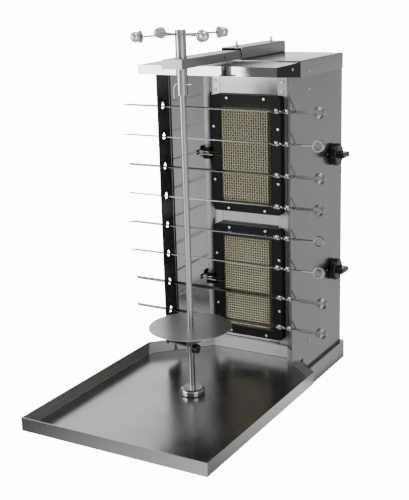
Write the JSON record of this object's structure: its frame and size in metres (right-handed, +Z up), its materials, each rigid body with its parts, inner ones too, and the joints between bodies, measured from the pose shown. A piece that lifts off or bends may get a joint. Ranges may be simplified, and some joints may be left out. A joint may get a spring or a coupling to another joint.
{
  "type": "gas doner kebab grill",
  "caption": "Upright gas grill for a doner cone: burner wall between slanted wings, turning spindle with a height-adjustable plate on a sliding arm, drip tray and side skewers.",
  "frame": {"origin": "middle of the plinth's footprint, on the worktop, under the rubber feet", "axes": "+X to the right, +Y to the back (the cook stands on the -Y side), +Z up"},
  "size_m": [0.542, 0.834, 0.8786],
  "materials": {
    "stainless": "brushed",
    "rubber": "matte",
    "black_enamel": "satin heat-resistant enamel",
    "heatproof_mesh": "woven wire, straw tint",
    "ceramic": "unglazed ceramic",
    "aluminised_steel": "satin",
    "brass": "turned",
    "galvanised_steel": "zinc plated",
    "turned_steel": "turned",
    "chrome": "polished",
    "black_plastic": "semi gloss",
    "skewer_steel": "polished stainless steel"
  },
  "bodies": {
    "cabinet": {"base_plinth": "stainless", "rubber_feet": "rubber", "left_side_panel": "stainless", "right_side_panel": "stainless", "rear_panel": "stainless", "left_wing": "stainless", "right_wing": "stainless", "burner_back_plate": "stainless", "top_cover": "stainless", "hood": "stainless", "arm_socket": "stainless", "upper_burner_frame": "black_enamel", "lower_burner_frame": "black_enamel", "upper_burner_mesh": "heatproof_mesh", "lower_burner_mesh": "heatproof_mesh", "burner_tiles": "ceramic", "upper_burner_housing": "aluminised_steel", "lower_burner_housing": "aluminised_steel", "upper_mixing_tube": "aluminised_steel", "lower_mixing_tube": "aluminised_steel", "injectors": "brass", "gas_pipes": "galvanised_steel", "upper_gas_tap": "brass", "lower_gas_tap": "brass", "gas_manifold": "galvanised_steel", "gas_inlet": "brass", "igniter_brackets": "black_enamel", "thermocouples": "brass", "spark_electrodes": "ceramic", "cabinet_screws": "galvanised_steel", "burner_screws": "galvanised_steel"},
    "tray": {"drip_tray": "stainless"},
    "arm": {"arm_tube": "stainless", "spindle_bush": "brass", "foot_puck": "turned_steel"},
    "spindle": {"spindle_sleeve": "turned_steel", "spindle_rod": "turned_steel", "star_handle": "chrome", "star_knobs": "chrome"},
    "plate": {"meat_plate": "stainless", "plate_collar": "turned_steel", "plate_bracket": "stainless"},
    "thumb": {"thumb_screw": "turned_steel"},
    "pin": {"locking_pin": "chrome"},
    "front_clamp": {"front_clamp_bolt": "galvanised_steel"},
    "rear_clamp": {"rear_clamp_bolt": "galvanised_steel"},
    "upper_plunger": {"upper_tap_plunger": "brass"},
    "upper_knob": {"upper_knob": "black_plastic", "upper_tap_spindle": "turned_steel"},
    "lower_plunger": {"lower_tap_plunger": "brass"},
    "lower_knob": {"lower_knob": "black_plastic", "lower_tap_spindle": "turned_steel"},
    "skewer_1": {"skewer_1": "skewer_steel"},
    "skewer_2": {"skewer_2": "skewer_steel"},
    "skewer_3": {"skewer_3": "skewer_steel"},
    "skewer_4": {"skewer_4": "skewer_steel"},
    "skewer_5": {"skewer_5": "skewer_steel"},
    "skewer_6": {"skewer_6": "skewer_steel"},
    "skewer_7": {"skewer_7": "skewer_steel"},
    "skewer_8": {"skewer_8": "skewer_steel"}
  },
  "joints": [
    {"name": "tray_slide", "type": "slide", "parent": "cabinet", "child": "tray", "axis": [0, -1, 0], "range_m": [0, 0.23]},
    {"name": "arm_slide", "type": "slide", "parent": "cabinet", "child": "arm", "axis": [0, -1, 0], "range_m": [-0.03, 0.06]},
    {"name": "spindle_spin", "type": "hinge", "parent": "arm", "child": "spindle", "pos_m": [0, -0.126, 0.8068], "axis": [0, 0, 1], "continuous": true},
    {"name": "plate_height", "type": "slide", "parent": "spindle", "child": "plate", "axis": [0, 0, 1], "range_m": [-0.06, 0.4]},
    {"name": "thumb_screw_turn", "type": "hinge", "parent": "plate", "child": "thumb", "pos_m": [0.011, -0.126, 0.163], "axis": [1, 0, 0], "range_deg": [0, 720]},
    {"name": "locking_pin_pull", "type": "slide", "parent": "spindle", "child": "pin", "axis": [-1, 0, 0], "range_m": [0, 0.045]},
    {"name": "front_clamp_turn", "type": "hinge", "parent": "cabinet", "child": "front_clamp", "pos_m": [0, 0.123, 0.83], "axis": [0, 0, 1], "range_deg": [0, 720]},
    {"name": "rear_clamp_turn", "type": "hinge", "parent": "cabinet", "child": "rear_clamp", "pos_m": [0, 0.305, 0.83], "axis": [0, 0, 1], "range_deg": [0, 720]},
    {"name": "upper_tap_push", "type": "slide", "parent": "cabinet", "child": "upper_plunger", "axis": [-1, 0, 0], "range_m": [0, 0.003], "stiffness_N_per_m": 2000, "springref_m": -0.003},
    {"name": "upper_knob_turn", "type": "hinge", "parent": "upper_plunger", "child": "upper_knob", "pos_m": [0.18, 0.286, 0.554], "axis": [1, 0, 0], "range_deg": [0, 210]},
    {"name": "lower_tap_push", "type": "slide", "parent": "cabinet", "child": "lower_plunger", "axis": [-1, 0, 0], "range_m": [0, 0.003], "stiffness_N_per_m": 2000, "springref_m": -0.003},
    {"name": "lower_knob_turn", "type": "hinge", "parent": "lower_plunger", "child": "lower_knob", "pos_m": [0.18, 0.286, 0.262], "axis": [1, 0, 0], "range_deg": [0, 210]},
    {"name": "skewer_1_roll", "type": "hinge", "parent": "cabinet", "child": "skewer_1", "pos_m": [0.1744, 0.068, 0.685], "axis": [1, 0, 0], "continuous": true},
    {"name": "skewer_2_roll", "type": "hinge", "parent": "cabinet", "child": "skewer_2", "pos_m": [0.1744, 0.068, 0.6115], "axis": [1, 0, 0], "continuous": true},
    {"name": "skewer_3_roll", "type": "hinge", "parent": "cabinet", "child": "skewer_3", "pos_m": [0.1744, 0.068, 0.538], "axis": [1, 0, 0], "continuous": true},
    {"name": "skewer_4_roll", "type": "hinge", "parent": "cabinet", "child": "skewer_4", "pos_m": [0.1744, 0.068, 0.4645], "axis": [1, 0, 0], "continuous": true},
    {"name": "skewer_5_roll", "type": "hinge", "parent": "cabinet", "child": "skewer_5", "pos_m": [0.1744, 0.068, 0.391], "axis": [1, 0, 0], "continuous": true},
    {"name": "skewer_6_roll", "type": "hinge", "parent": "cabinet", "child": "skewer_6", "pos_m": [0.1744, 0.068, 0.3175], "axis": [1, 0, 0], "continuous": true},
    {"name": "skewer_7_roll", "type": "hinge", "parent": "cabinet", "child": "skewer_7", "pos_m": [0.1744, 0.068, 0.244], "axis": [1, 0, 0], "continuous": true},
    {"name": "skewer_8_roll", "type": "hinge", "parent": "cabinet", "child": "skewer_8", "pos_m": [0.1744, 0.068, 0.1705], "axis": [1, 0, 0], "continuous": true}
  ]
}
